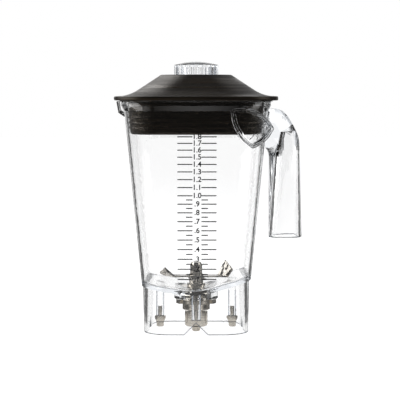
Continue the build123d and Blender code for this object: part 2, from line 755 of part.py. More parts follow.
# Filler cap: a fluted head and a stem, two tubes that hang from one domed plate
dome_r = cap_head_r - cap_flute_depth
plate_z = cap_shoulder_z - cap_plate
with BuildPart() as filler_cap:
    with BuildSketch(Plane.XY.offset(lid_top_z)):
        Circle(cap_head_r)
        with PolarLocations(cap_head_r - cap_flute_depth + cap_flute_r, cap_flute_count):
            Circle(cap_flute_r, mode=Mode.SUBTRACT)
    extrude(amount=cap_shoulder_z - lid_top_z)
    with BuildSketch(Plane.XZ):
        with BuildLine():
            Line((0, cap_shoulder_z), (dome_r, cap_shoulder_z))
            RadiusArc((dome_r, cap_shoulder_z), (0, cap_shoulder_z + cap_dome),
                      -(dome_r**2 + cap_dome**2) / (2 * cap_dome))
            Line((0, cap_shoulder_z + cap_dome), (0, cap_shoulder_z))
        make_face()
    revolve(axis=Axis.Z)
    ring_between(cap_stem_r - cap_stem_wall, cap_stem_r, cap_stem_foot_z, lid_top_z)
    with BuildSketch(Plane.XY.offset(lid_top_z)):
        Circle(cap_head_r - cap_head_wall)
        Circle(cap_stem_r, mode=Mode.SUBTRACT)
        Circle(cap_stem_r - cap_stem_wall)
    extrude(amount=plate_z - lid_top_z, mode=Mode.SUBTRACT)
    fillet(edges_at(cap_shoulder_z), radius=cap_round)
filler_cap.part.label = "filler_cap"
export_step(filler_cap.part, "parts/filler_cap.step")
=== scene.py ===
import math

import bpy
import numpy as np
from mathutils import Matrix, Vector


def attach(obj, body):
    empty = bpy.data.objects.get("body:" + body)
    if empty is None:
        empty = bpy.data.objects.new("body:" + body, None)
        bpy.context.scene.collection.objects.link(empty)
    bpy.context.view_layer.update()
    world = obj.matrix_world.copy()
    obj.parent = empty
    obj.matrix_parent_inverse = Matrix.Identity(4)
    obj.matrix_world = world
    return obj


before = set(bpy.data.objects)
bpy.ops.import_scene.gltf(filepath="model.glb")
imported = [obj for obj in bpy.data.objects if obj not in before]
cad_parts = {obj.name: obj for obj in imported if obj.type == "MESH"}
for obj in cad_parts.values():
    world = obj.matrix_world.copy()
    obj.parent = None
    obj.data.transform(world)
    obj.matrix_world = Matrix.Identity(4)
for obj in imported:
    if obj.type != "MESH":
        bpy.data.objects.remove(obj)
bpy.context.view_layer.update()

bl_info = {
    "name": "Clear jar looks",
    "version": (1, 0, 0),
    "blender": (4, 5, 0),
    "location": "View3D > Sidebar > Jar",
    "description": "Dresses the packed jar, its lid, cutter and drive, prints its scale and sets the stage",
    "category": "Object",
}

# Printed scale: a mark's height in millimetres is base + rise * litres - bend * litres squared
MARK_BASE, MARK_RISE, MARK_BEND = 44.673, 103.306, 11.693
LONG_LINES, SHORT_LINES = 18, 9
FILM_GAP = 0.2  # gap between wall and ink, as a share of the film
FIGURE_SHARE = 0.7  # height of a figure, as a share of the font's size
FIGURE_WEIGHT = 0.16  # growth of a figure's outline, as a share of a line's stroke

# Rounded edges: points round a bead, along a bowed line and round each corner of the skirt and the grip
BEAD_SIDES, ARC_POINTS, SKIRT_POINTS, GRIP_POINTS = 10, 48, 24, 16
BEAD_LIFT = 1.2  # height of the skirt's bead over the foot, in radii
ALONG_AXIS = 0.999  # share past which a direction counts as along an axis
FACE_END = 0.98  # share of its circle's radius to which a lobe's face is followed

# Finishes
EDGE_SHADE_FACING = (0.05, 0.6)  # facing at which the painted grey edge shade of solid plastic starts and is full
DULLER, SHINIER = 0.1, 0.08  # step in roughness between the lid's mould lines, and on them
GRIND_PACE = 0.04  # how fast a grinding line changes along its run, as a share of that across

# Floor in metres: its half width, how far it lies under the part, and where its levels start and end to fade,
# the painted shadow under the jar first
FLOOR_HALF, FLOOR_DROP = 6.0, 0.0002
SHADOW_UNDER_JAR, NEAR_JAR, AHEAD = (0.05, 0.16), (0.1, 0.16), (0.26, 0.42)
BETWEEN_CARDS = 0.05  # level between the bright bands

# Directions: shares along +Y from front to back, and along +Z where the backdrop fades to its upper level
FRONT, BACK = -0.3, 0.3
TOP_FADE, TOP_LEVEL = (0.2, 0.6), 0.2

# Rays: a count of turns under this is none, and bounces in clear plastic and between mirrors
NO_TURN = 0.5
CLEAR_BOUNCES, MIRROR_BOUNCES = 24, 16

# Camera's sensor in millimetres, the place the lamps face, and each lamp's name, place, width, height and watts
SENSOR = 36.0
LAMP_TARGET = (0.0, 0.0, 0.15)
SOFT_BOXES = (
    ("soft box left", (-1.3, -0.2, 0.6), 1.5, 1.0, 13.0),
    ("soft box right", (1.35, -0.4, 0.6), 0.8, 1.0, 5.0),
    ("soft box behind left", (-0.7, 1.1, 1.4), 0.9, 0.9, 8.5),
    ("soft box behind right", (0.7, 1.1, 1.4), 0.9, 0.9, 1.6),
)

# Settings of nodes, each named once
COLOURS, SMOOTH = {"data_type": "RGBA"}, {"interpolation_type": "SMOOTHSTEP"}
MULTIPLY, SUBTRACT = {"operation": "MULTIPLY"}, {"operation": "SUBTRACT"}
LARGER, SMALLER = {"operation": "MAXIMUM"}, {"operation": "MINIMUM"}
OVER, BELOW = {"operation": "GREATER_THAN"}, {"operation": "LESS_THAN"}
DISTANCE = {"operation": "LENGTH"}


def linear(code):
    """Turn an sRGB hex colour into linear RGBA."""
    parts = [int(code[i:i + 2], 16) / 255 for i in (1, 3, 5)]
    return [c / 12.92 if c <= 0.04045 else ((c + 0.055) / 1.055) ** 2.4 for c in parts] + [1.0]


def colour(name, description, code):
    """A colour property whose default is an sRGB hex value."""
    return bpy.props.FloatVectorProperty(name=name, description=description, subtype="COLOR", size=4,
                                         min=0.0, max=1.0, default=linear(code))


def length(name, description, millimetres):
    """A length property whose default is given in millimetres."""
    return bpy.props.FloatProperty(name=name, description=description, unit="LENGTH", min=0.0,
                                   default=millimetres / 1000, precision=5)


def number(name, description, default):
    """A plain number property."""
    return bpy.props.FloatProperty(name=name, description=description, min=0.0, default=default)


def spot(name, description, millimetres):
    """A place across and up the front wall, whose default is given in millimetres."""
    return bpy.props.FloatVectorProperty(name=name, description=description, unit="LENGTH", size=2,
                                         default=[value / 1000 for value in millimetres])


class ClearPlastic(bpy.types.PropertyGroup):
    """Clear copolyester of the jar and the filler cap."""

    tint: colour("Tint", "Colour that light takes on along thick plastic", "#C9D6E6")
    depth: number("Tint strength", "How fast the tint builds up, per metre", 3.0)
    index: number("Refraction", "Index of refraction of copolyester", 1.54)
    haze: number("Haze", "Roughness of the polished walls where they are scuffed", 0.03)
    wave: length("Flow waves", "Distance between the faint waves of the moulding", 22.0)
    # Painted shade: post, arm shade share and flute edge shade set the grey laid on the clear plastic's colour
    # where the eye glances along posts, arm and flutes
    post: colour("Post edges", "Colour of the solid posts where the eye glances along them", "#6E7886")
    arm_start: length("Arm start", "Distance from the jar's middle where the handle's arm begins", 77.0)
    arm_foot: length("Arm foot", "Height where the handle's arm ends", 184.0)
    arm_shade_share: number("Arm edges", "Share of the post colour that the arm's edges take on", 0.6)
    flute_edge_shade: colour("Flute edges", "Colour of the cap's flutes where the eye glances along them", "#A4A9B0")
    # Painted shade: the skirt's and the grip's rounded edges are grey, part see-through lines that stand in for
    # the shade a clear edge bends into view
    edge_shade_dark: colour("Edge, dark", "Darker grey of the rounded edges", "#3C4652")
    edge_shade_light: colour("Edge, light", "Lighter grey of the rounded edges", "#7A8592")
    edge_shade_cover: number("Edge cover", "How much of the white behind a rounded edge is taken away", 0.42)
    shade: colour("Shade", "Colour of the lamps' light that falls through the walls", "#F4F6F8")
    post_circle: length("Post circle", "Distance of the posts from the jar's middle", 36.7)
    post_reach: length("Post reach", "Distance from a post's middle that still belongs to it", 4.8)
    post_top: length("Post top", "Height where the posts meet the floor", 39.0)


class LidRubber(bpy.types.PropertyGroup):
    """Black rubber of the lid and matt rubber of the seals."""

    deep: colour("Deep black", "Colour between the mould's lines", "#0B0806")
    worn: colour("Line black", "Colour on the mould's lines", "#2E271F")
    seal: colour("Seal black", "Colour of the rings, gasket and shaft seal", "#111111")
    line: length("Mould lines", "Distance between the level lines of the mould", 1.6)
    run: length("Line run", "Distance over which a mould line stays even", 70.0)
    gloss: number("Roughness", "Roughness of the lid's satin surface", 0.34)
    sheen: colour("Sheen", "Warm tint of the lid's reflections", "#FFF1DE")


class SteelFinish(bpy.types.PropertyGroup):
    """Stainless steel of the drive, the studs and the cutter."""

    turned: colour("Turned steel", "Colour of the lathe-turned pieces", "#D2CCC1")
    groove: colour("Lathe lines", "Colour in the fine lines of the lathe", "#A29B90")
    ground: colour("Ground steel", "Colour of the ground blades", "#BFBBB4")
    scratch: colour("Grinding lines", "Colour in the lines of the grinding wheel", "#96918A")
    race: colour("Bearing steel", "Colour of the polished bearings", "#AEB1B5")
    feed: length("Lathe feed", "Distance between the lines of the lathe", 0.9)
    grit: length("Grinding grit", "Distance between the lines of the grinding wheel", 0.7)
    bend: length("Bend patches", "Size of the bright and dark patches on the bent blades", 7.0)


class ScalePrint(bpy.types.PropertyGroup):
    """Printed litre scale on the front wall."""

    ink: colour("Ink", "Colour of the printed scale", "#121214")
    thin: colour("Thin ink", "Colour where the ink is thin", "#242427")
    stroke: length("Stroke", "Height of a printed line", 1.0)
    film: length("Film", "Thickness of the ink", 0.1)
    figure: length("Figures", "Height of the printed figures", 5.0)
    middle: length("Middle", "Middle of the scale, right of the jar's middle", 0.9)
    inner: length("Inner end", "Distance from the scale's middle to the near ends of the lines", 4.3)
    half: length("Short line", "Distance from the scale's middle to the far ends of the short lines", 10.5)
    full: length("Long line", "Distance from the scale's middle to the far ends of the long lines", 18.7)
    foot: length("Wall foot", "Height of the foot of the front wall", 43.0)
    reach: length("Wall reach", "Distance from the jar's middle to the foot of the front wall", 53.0)
    lean: bpy.props.FloatProperty(name="Wall lean", description="Lean of the front wall", subtype="ANGLE",
                                  default=math.radians(5.4))


class RoundedEdges(bpy.types.PropertyGroup):
    """Rounded edges of the clear moulding."""

    bead: length("Edge", "Radius of the rounded edge of the skirt and the grip", 0.5)
    skirt_half: length("Skirt", "Half width of the skirt's foot", 51.35)
    skirt_corner: length("Skirt corner", "Corner radius of the skirt", 26.0)
    notch_width: length("Notch width", "Width of a notch in the skirt", 23.0)
    notch_height: length("Notch height", "Height of a notch in the skirt", 11.5)
    grip_x: length("Grip place", "Distance of the grip's middle from the jar's middle", 86.1)
    grip_half_x: length("Grip half width", "Half width of the grip's end", 14.4)
    grip_half_y: length("Grip half depth", "Half depth of the grip's end", 24.0)
    grip_corner: length("Grip corner", "Corner radius of the grip's end", 12.0)
    grip_z: length("Grip end", "Height of the grip's end", 92.8)
    lobe_root: spot("Lobe root", "Upper left end of a lobe, across and up", (34.4, 217.5))
    lobe_tip: spot("Lobe tip", "Right end of a lobe, across and up", (73.5, 200.0))
    lobe_foot: spot("Lobe foot", "Lower end of a lobe, across and up", (54.0, 183.0))
    lobe_top: length("Lobe top", "Bow of a lobe's upper edge", 8.3)
    lobe_side: length("Lobe side", "Bow of a lobe's lower right edge", 2.5)
    lobe_left: length("Lobe left", "Bow of a lobe's left edge", 5.2)
    lobe_stand: length("Lobe height", "How far a lobe's face stands off the wall", 0.8)
    lobe_swell: length("Lobe swell", "Distance from the jar's middle where a lobe's face turns back", 48.0)
    lobe_turn: length("Lobe turn", "How far past the side wall a lobe's face has turned back", 5.0)
    lobe_depth: length("Lobe depth", "How far behind the wall a lobe's face has turned back", 24.0)
    lobe_bead: length("Lobe edge", "Radius of a lobe's rounded edge", 1.5)


class StageSet(bpy.types.PropertyGroup):
    """Camera, lamps, floor and backdrop."""

    lens: number("Lens", "Focal length in millimetres on a 36 mm sensor", 135.9)
    eye: bpy.props.FloatVectorProperty(name="Camera", description="Place of the camera", unit="LENGTH",
                                       subtype="TRANSLATION", default=(0.0038, -1.5, 0.237))
    tilt: bpy.props.FloatProperty(name="Tilt", description="How far the camera looks down", subtype="ANGLE",
                                  default=math.radians(4.166))
    paper: colour("Paper", "Colour of the floor in the lamps' light", "#959595")
    floor_white: number("Floor white", "Level of the floor as the camera sees it", 0.93)
    through: number("Through plastic", "Level of floor and backdrop behind the clear walls", 1.04)
    # Painted shadow: under the jar the floor seen through plastic is darkened to this share, whatever the lamps
    # do
    painted_shadow_share: number("Under the jar", "Share of that level that is left on the floor under the jar", 0.86)
    near_floor: number("Near floor", "Level of the floor close to the object in reflections", 0.85)
    cards: number("Cards", "How close together the bright bands in front of the object are", 9.42)
    room: number("Room", "Level of the room behind the object in reflections", 0.11)
    room_front: number("Room in front", "Level of the room in front of the object in reflections", 0.025)
    fill: number("Fill", "Level of the room's soft light", 0.35)
    backdrop_edge: number("Backdrop edge", "Share along +Y where the backdrop ends", 0.80)
    backdrop_full: number("Backdrop full", "Share along +Y where the backdrop is white", 0.96)


class JarLooks(bpy.types.PropertyGroup):
    """All sizes and colours of the looks."""

    plastic: bpy.props.PointerProperty(name="Plastic", description="Clear mouldings", type=ClearPlastic)
    rubber: bpy.props.PointerProperty(name="Rubber", description="Lid and seals", type=LidRubber)
    steel: bpy.props.PointerProperty(name="Steel", description="Drive, studs and cutter", type=SteelFinish)
    scale: bpy.props.PointerProperty(name="Scale", description="Printed scale", type=ScalePrint)
    edges: bpy.props.PointerProperty(name="Edges", description="Rounded edges", type=RoundedEdges)
    stage: bpy.props.PointerProperty(name="Stage", description="Camera, lamps and floor", type=StageSet)


def add_node(tree, kind, settings=None, **sockets):
    """Add a node with its settings; each socket gets a value, or a link when it is given another socket."""
    node = tree.nodes.new(kind)
    for key, value in (settings or {}).items():
        setattr(node, key, value)
    for key, value in sockets.items():
        place = int(key[1:]) if key[0] == "i" and key[1:].isdigit() else key.replace("_", " ")
        if isinstance(value, bpy.types.NodeSocket):
            tree.links.new(value, node.inputs[place])
        else:
            node.inputs[place].default_value = value
    return node


def new_material(name):
    """An empty material and its node tree."""
    material = bpy.data.materials.new(name)
    material.use_nodes = True
    material.node_tree.nodes.clear()
    return material, material.node_tree


def solid_shade_share(tree, place, look):
    """Nodes that give where the moulding is solid and so takes the painted edge shade: 1 on the posts, less on
    the handle's arm and 0 elsewhere.

    The larger of |x| and |y| runs along the nearest post's arm and the smaller one across it, so their
    distance from the post circle tells a post from a wall. The height limits it to the space under the
    floor. The handle's arm is all that lies right of its start and above its foot.
    """
    folded = add_node(tree, "ShaderNodeVectorMath", {"operation": "ABSOLUTE"}, i0=place)
    axes = add_node(tree, "ShaderNodeSeparateXYZ", Vector=folded.outputs[0]).outputs
    along = add_node(tree, "ShaderNodeMath", LARGER, i0=axes["X"], i1=axes["Y"])
    across = add_node(tree, "ShaderNodeMath", SMALLER, i0=axes["X"], i1=axes["Y"])
    along = add_node(tree, "ShaderNodeMath", SUBTRACT, i0=along.outputs[0], i1=look.post_circle)
    offset = add_node(tree, "ShaderNodeCombineXYZ", X=along.outputs[0], Y=across.outputs[0])
    away = add_node(tree, "ShaderNodeVectorMath", DISTANCE, i0=offset.outputs[0])
    inside = add_node(tree, "ShaderNodeMath", BELOW, i0=away.outputs["Value"], i1=look.post_reach)
    under = add_node(tree, "ShaderNodeMath", BELOW, i0=axes["Z"], i1=look.post_top)
    posts = add_node(tree, "ShaderNodeMath", MULTIPLY, i0=inside.outputs[0], i1=under.outputs[0])
    axes = add_node(tree, "ShaderNodeSeparateXYZ", Vector=place).outputs
    right = add_node(tree, "ShaderNodeMath", OVER, i0=axes["X"], i1=look.arm_start)
    above = add_node(tree, "ShaderNodeMath", OVER, i0=axes["Z"], i1=look.arm_foot)
    arm = add_node(tree, "ShaderNodeMath", MULTIPLY, i0=right.outputs[0], i1=above.outputs[0])
    arm = add_node(tree, "ShaderNodeMath", MULTIPLY, i0=arm.outputs[0], i1=look.arm_shade_share)
    share = add_node(tree, "ShaderNodeMath", LARGER, i0=posts.outputs[0], i1=arm.outputs[0])
    return share.outputs[0]


def clear_copolyester(look, fluted):
    """Clear copolyester, moulded, of the jar or of the fluted cap."""
    # A polished mould gives sharp, see-through walls with faint flow waves. Solid posts, the handle's arm and
    # the cap's flutes bend the light most; where the eye glances along them a cool grey painted shade is mixed
    # into their colour
    material, tree = new_material("Clear copolyester, fluted" if fluted else "Clear copolyester, moulded")
    place = add_node(tree, "ShaderNodeTexCoord").outputs["Object"]
    wave = add_node(tree, "ShaderNodeTexNoise", Vector=place, Scale=1 / look.wave, Detail=2.0)
    haze = add_node(tree, "ShaderNodeMapRange", Value=wave.outputs[0], To_Min=0.0, To_Max=look.haze)
    facing = add_node(tree, "ShaderNodeLayerWeight", Blend=0.5)
    edge = add_node(tree, "ShaderNodeMapRange", SMOOTH, Value=facing.outputs["Facing"], From_Min=EDGE_SHADE_FACING[0],
                    From_Max=EDGE_SHADE_FACING[1])
    share = edge.outputs[0]
    if not fluted:
        solid = solid_shade_share(tree, place, look)
        share = add_node(tree, "ShaderNodeMath", MULTIPLY, i0=share, i1=solid).outputs[0]
    # Painted shade: the plastic's colour turns grey where its surface is seen at a glance
    shade = add_node(tree, "ShaderNodeMix", COLOURS, i0=share, i6=linear("#FFFFFF"),
                     i7=look.flute_edge_shade if fluted else look.post)
    shader = add_node(tree, "ShaderNodeBsdfPrincipled", Base_Color=shade.outputs[2],
                      Roughness=haze.outputs[0], IOR=look.index, Transmission_Weight=1.0)
    path = add_node(tree, "ShaderNodeLightPath")
    lamp_light = add_node(tree, "ShaderNodeBsdfTransparent", Color=look.shade)
    mix = add_node(tree, "ShaderNodeMixShader", i0=path.outputs["Is Shadow Ray"], i1=shader.outputs[0],
                   i2=lamp_light.outputs[0])
    tint = add_node(tree, "ShaderNodeVolumeAbsorption", Color=look.tint, Density=look.depth)
    add_node(tree, "ShaderNodeOutputMaterial", Surface=mix.outputs[0], Volume=tint.outputs[0])
    return material


def edge_shade_line(look):
    """Grey line of painted shade along a rounded edge of clear copolyester."""
    # A rounded edge of clear plastic bends the white behind it away and shows as a fine cool grey line; that
    # shade is painted here as a grey, part see-through surface
    material, tree = new_material("Clear copolyester edge, painted shade")
    place = add_node(tree, "ShaderNodeTexCoord").outputs["Object"]
    wave = add_node(tree, "ShaderNodeTexNoise", Vector=place, Scale=2 / look.wave, Detail=2.0)
    shade = add_node(tree, "ShaderNodeMix", COLOURS, i0=wave.outputs[0], i6=look.edge_shade_dark,
                     i7=look.edge_shade_light)
    shader = add_node(tree, "ShaderNodeBsdfPrincipled", Base_Color=shade.outputs[2], Roughness=0.08,
                      IOR=look.index, Alpha=look.edge_shade_cover)
    add_node(tree, "ShaderNodeOutputMaterial", Surface=shader.outputs[0])
    return material


def lid_rubber(look):
    """Black thermoplastic rubber, moulded."""
    # A turned mould leaves level lines on a warm satin black; the real lines are finer and are drawn wide
    # enough to show
    material, tree = new_material("Black thermoplastic rubber, moulded")
    place = add_node(tree, "ShaderNodeTexCoord").outputs["Object"]
    level = add_node(tree, "ShaderNodeMapping", Vector=place,
                     Scale=(1 / look.run, 1 / look.run, 1 / look.line))
    line = add_node(tree, "ShaderNodeTexNoise", Vector=level.outputs[0], Scale=1.0, Detail=3.0)
    share = add_node(tree, "ShaderNodeMapRange", Value=line.outputs[0], From_Min=0.45, From_Max=0.68)
    shade = add_node(tree, "ShaderNodeMix", COLOURS, i0=share.outputs[0], i6=look.deep, i7=look.worn)
    gloss = add_node(tree, "ShaderNodeMapRange", Value=share.outputs[0], To_Min=look.gloss + DULLER,
                     To_Max=look.gloss - SHINIER)
    bump = add_node(tree, "ShaderNodeBump", Height=line.outputs[0], Strength=0.5, Distance=0.0004)
    shader = add_node(tree, "ShaderNodeBsdfPrincipled", Base_Color=shade.outputs[2],
                      Roughness=gloss.outputs[0], Normal=bump.outputs[0], IOR=1.5,
                      Specular_Tint=look.sheen)
    add_node(tree, "ShaderNodeOutputMaterial", Surface=shader.outputs[0])
    return material


def seal_rubber(look):
    """Black nitrile rubber, matt."""
    # Nitrile seals are matt and nearly black, with a faint grey dust in the fine pores
    material, tree = new_material("Black nitrile rubber, matt")
    place = add_node(tree, "ShaderNodeTexCoord").outputs["Object"]
    pore = add_node(tree, "ShaderNodeTexNoise", Vector=place, Scale=1 / look.line, Detail=2.0)
    shade = add_node(tree, "ShaderNodeMix", COLOURS, i0=pore.outputs[0], i6=look.seal, i7=look.worn)
    shader = add_node(tree, "ShaderNodeBsdfPrincipled", Base_Color=shade.outputs[2], Roughness=0.6, IOR=1.5)
    add_node(tree, "ShaderNodeOutputMaterial", Surface=shader.outputs[0])
    return material


def turned_steel(look):
    """Stainless steel, turned."""
    # The lathe leaves fine rings that draw reflections out into bright and dark bands; drawn wide enough to
    # show
    material, tree = new_material("Stainless steel, turned")
    place = add_node(tree, "ShaderNodeTexCoord").outputs["Object"]
    flat = add_node(tree, "ShaderNodeVectorMath", MULTIPLY, i0=place, i1=(1.0, 1.0, 0.0))
    radius = add_node(tree, "ShaderNodeVectorMath", DISTANCE, i0=flat.outputs[0])
    axes = add_node(tree, "ShaderNodeSeparateXYZ", Vector=place)
    travel = add_node(tree, "ShaderNodeMath", {"operation": "ADD"}, i0=radius.outputs["Value"],
                      i1=axes.outputs["Z"])
    ring = add_node(tree, "ShaderNodeTexNoise", {"noise_dimensions": "1D"}, W=travel.outputs[0],
                    Scale=1 / look.feed, Detail=2.0)
    share = add_node(tree, "ShaderNodeMapRange", Value=ring.outputs[0], From_Min=0.3, From_Max=0.6)
    shade = add_node(tree, "ShaderNodeMix", COLOURS, i0=share.outputs[0], i6=look.groove, i7=look.turned)
    gloss = add_node(tree, "ShaderNodeMapRange", Value=ring.outputs[0], To_Min=0.14, To_Max=0.05)
    bump = add_node(tree, "ShaderNodeBump", Height=ring.outputs[0], Strength=0.2, Distance=0.0001)
    shader = add_node(tree, "ShaderNodeBsdfPrincipled", Base_Color=shade.outputs[2],
                      Roughness=gloss.outputs[0], Normal=bump.outputs[0], Metallic=1.0)
    add_node(tree, "ShaderNodeOutputMaterial", Surface=shader.outputs[0])
    return material


def ground_steel(look):
    """Stainless steel, ground."""
    # A grinding wheel leaves straight lines across the blades, and the bent corners break the shine into
    # bright and dark patches; the lines are drawn wide enough to show
    material, tree = new_material("Stainless steel, ground")
    place = add_node(tree, "ShaderNodeTexCoord").outputs["Object"]
    across = add_node(tree, "ShaderNodeMapping", Vector=place,
                      Scale=(1 / look.grit, GRIND_PACE / look.grit, GRIND_PACE / look.grit))
    line = add_node(tree, "ShaderNodeTexNoise", Vector=across.outputs[0], Scale=1.0, Detail=2.0)
    shade = add_node(tree, "ShaderNodeMix", COLOURS, i0=line.outputs[0], i6=look.scratch, i7=look.ground)
    gloss = add_node(tree, "ShaderNodeMapRange", Value=line.outputs[0], To_Min=0.16, To_Max=0.06)
    bend = add_node(tree, "ShaderNodeTexNoise", Vector=place, Scale=1 / look.bend, Detail=1.0)
    bump = add_node(tree, "ShaderNodeBump", Height=bend.outputs[0], Strength=0.55, Distance=0.0035)
    shader = add_node(tree, "ShaderNodeBsdfPrincipled", Base_Color=shade.outputs[2],
                      Roughness=gloss.outputs[0], Normal=bump.outputs[0], Metallic=1.0)
    add_node(tree, "ShaderNodeOutputMaterial", Surface=shader.outputs[0])
    return material


def bearing_steel(look):
    """Bearing steel, polished."""
    # Polished rings shine cool grey, with a thin film of grease that dulls them in patches
    material, tree = new_material("Bearing steel, polished")
    place = add_node(tree, "ShaderNodeTexCoord").outputs["Object"]
    film = add_node(tree, "ShaderNodeTexNoise", Vector=place, Scale=0.5 / look.feed, Detail=2.0)
    shade = add_node(tree, "ShaderNodeMix", COLOURS, i0=film.outputs[0], i6=look.race, i7=look.turned)
    gloss = add_node(tree, "ShaderNodeMapRange", Value=film.outputs[0], To_Min=0.12, To_Max=0.3)
    shader = add_node(tree, "ShaderNodeBsdfPrincipled", Base_Color=shade.outputs[2],
                      Roughness=gloss.outputs[0], Metallic=1.0)
    add_node(tree, "ShaderNodeOutputMaterial", Surface=shader.outputs[0])
    return material


def printing_ink(look):
    """Printing ink, black."""
    # Screen ink is a thin, satin black film that is a little greyer where it was laid on thin
    material, tree = new_material("Printing ink, black")
    place = add_node(tree, "ShaderNodeTexCoord").outputs["Object"]
    thin = add_node(tree, "ShaderNodeTexNoise", Vector=place, Scale=1 / look.figure, Detail=3.0)
    shade = add_node(tree, "ShaderNodeMix", COLOURS, i0=thin.outputs[0], i6=look.ink, i7=look.thin)
    shader = add_node(tree, "ShaderNodeBsdfPrincipled", Base_Color=shade.outputs[2], Roughness=0.45)
    add_node(tree, "ShaderNodeOutputMaterial", Surface=shader.outputs[0])
    return material


def dress(nodes, material):
    """Give CAD nodes a material."""
    for name in nodes:
        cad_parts[name].data.materials.clear()
        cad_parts[name].data.materials.append(material)


def mesh_piece(name, points, faces, material, body):
    """A piece made of points in metres and faces, with its material, riding on a CAD body."""
    mesh = bpy.data.meshes.new(name)
    mesh.from_pydata(points.tolist(), [], faces.tolist())
    mesh.materials.append(material)
    piece = bpy.data.objects.new(name, mesh)
    bpy.context.scene.collection.objects.link(piece)
    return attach(piece, body)


def on_wall(look, along, height, up, out):
    """Points on the leaning front wall.

    A point starts on the wall's outside at its height, where the wall has gone forward by the height over its
    foot times the tangent of its lean. It then moves up along the wall and out along the wall's normal.
    """
    forward = look.reach + (height - look.foot) * math.tan(look.lean)
    sine, cosine = math.sin(look.lean), math.cos(look.lean)
    return np.stack([along + 0 * out, -forward - up * sine - out * cosine,
                     height + up * cosine - out * sine], axis=-1)


def scale_height(litres):
    """Height of a mark over the table: a parabola in the volume, because the walls lean outwards."""
    return (MARK_BASE + MARK_RISE * litres - MARK_BEND * litres ** 2) / 1000


def line_plates(look):
    """All lines of the scale as thin plates.

    Each plate is a box: its eight corners are its near or far end along the wall, half its stroke up or down
    the wall, and nought or the film out of the wall, past a small gap.
    """
    tenths = np.arange(1, LONG_LINES + 1) / 10
    halves = np.arange(1, SHORT_LINES + 1) / 10 + 0.05
    litres = np.concatenate([tenths, halves])
    far = np.where(np.arange(litres.size) < tenths.size, look.full, look.half)
    litres, far, side = np.tile(litres, 2), np.tile(far, 2), np.repeat([-1.0, 1.0], litres.size)
    corner = np.array([[a, b, c] for c in (0, 1) for a, b in ((0, -1), (1, -1), (1, 1), (0, 1))])
    along = look.middle + side[:, None] * (look.inner + corner[None, :, 0] * (far[:, None] - look.inner))
    points = on_wall(look, along, scale_height(litres)[:, None], corner[None, :, 1] * look.stroke / 2,
                     look.film * (FILM_GAP + corner[None, :, 2]))
    quads = np.array([[0, 3, 2, 1], [4, 5, 6, 7], [0, 1, 5, 4], [1, 2, 6, 5], [2, 3, 7, 6], [3, 0, 4, 7]])
    turned = np.where(side[:, None, None] > 0, quads[None], quads[None, :, ::-1])
    faces = turned + 8 * np.arange(side.size)[:, None, None]
    return points.reshape(-1, 3), faces.reshape(-1, 4)


def figure_mesh(text, look):
    """Points and triangles of one printed figure, centred on its middle, with its height set in metres."""
    curve = bpy.data.curves.new("figure", "FONT")
    curve.body = text
    curve.align_x, curve.align_y = "CENTER", "CENTER"
    curve.size = look.figure / FIGURE_SHARE
    curve.extrude = look.film / 2
    curve.offset = look.stroke * FIGURE_WEIGHT
    curve.resolution_u = 4
    letters = bpy.data.objects.new("figure", curve)
    bpy.context.scene.collection.objects.link(letters)
    bpy.context.view_layer.update()
    mesh = bpy.data.meshes.new_from_object(letters.evaluated_get(bpy.context.evaluated_depsgraph_get()))
    mesh.calc_loop_triangles()
    points = np.empty(3 * len(mesh.vertices))
    mesh.vertices.foreach_get("co", points)
    triangles = np.empty(3 * len(mesh.loop_triangles), dtype=int)
    mesh.loop_triangles.foreach_get("vertices", triangles)
    bpy.data.objects.remove(letters)
    bpy.data.curves.remove(curve)
    bpy.data.meshes.remove(mesh)
    return points.reshape(-1, 3), triangles.reshape(-1, 3)


def tube(path, normal, radius):
    """A round bead along a closed path, as points and quads.

    Each path point carries a circle of the bead's radius. The circle is spanned by the given normal and by
    the path's tangent crossed with it.
    """
    tangent = np.roll(path, -1, axis=0) - np.roll(path, 1, axis=0)
    tangent = tangent / np.linalg.norm(tangent, axis=1)[:, None]
    side = np.cross(tangent, normal)
    side = side / np.linalg.norm(side, axis=1)[:, None]
    out = np.cross(side, tangent)
    angle = np.linspace(0, 2 * np.pi, BEAD_SIDES, endpoint=False)
    points = path[:, None] + radius * (np.cos(angle)[None, :, None] * out[:, None]
                                       + np.sin(angle)[None, :, None] * side[:, None])
    row, column = np.meshgrid(np.arange(len(path)), np.arange(BEAD_SIDES), indexing="ij")
    here, ahead = row * BEAD_SIDES, (row + 1) % len(path) * BEAD_SIDES
    beside = (column + 1) % BEAD_SIDES
    faces = np.stack([here + column, here + beside, ahead + beside, ahead + column], axis=-1)
    return points.reshape(-1, 3), faces.reshape(-1, 4)


def rounded_outline(half_x, half_y, corner, count):
    """Points and outward directions round a rectangle with round corners, evenly in each corner and side.

    The outline is the inner rectangle of the corners' centres, moved out by the corner radius along the
    outward direction; the direction turns through a quarter circle at each corner and stays along each side.
    """
    inner_x, inner_y = half_x - corner, half_y - corner
    bend = np.linspace(0, np.pi / 2, count)
    quarter = np.concatenate([bend + k * np.pi / 2 for k in range(4)])
    direction = np.stack([np.cos(quarter), np.sin(quarter)], axis=-1)
    sign_x, sign_y = np.repeat([1, -1, -1, 1], count), np.repeat([1, 1, -1, -1], count)
    corners = np.stack([sign_x * inner_x, sign_y * inner_y], axis=-1) + corner * direction
    corners, direction = corners.reshape(4, count, 2), direction.reshape(4, count, 2)
    share = np.linspace(0, 1, 2 * count, endpoint=False)[None, :, None]
    ends, starts = corners[:, -1:], np.roll(corners[:, :1], -1, axis=0)
    sides = ends * (1 - share) + starts * share
    facing = np.repeat(direction[:, -1:], 2 * count, axis=1)
    points = np.concatenate([corners, sides[:, 1:]], axis=1).reshape(-1, 2)
    return points, np.concatenate([direction, facing[:, 1:]], axis=1).reshape(-1, 2)


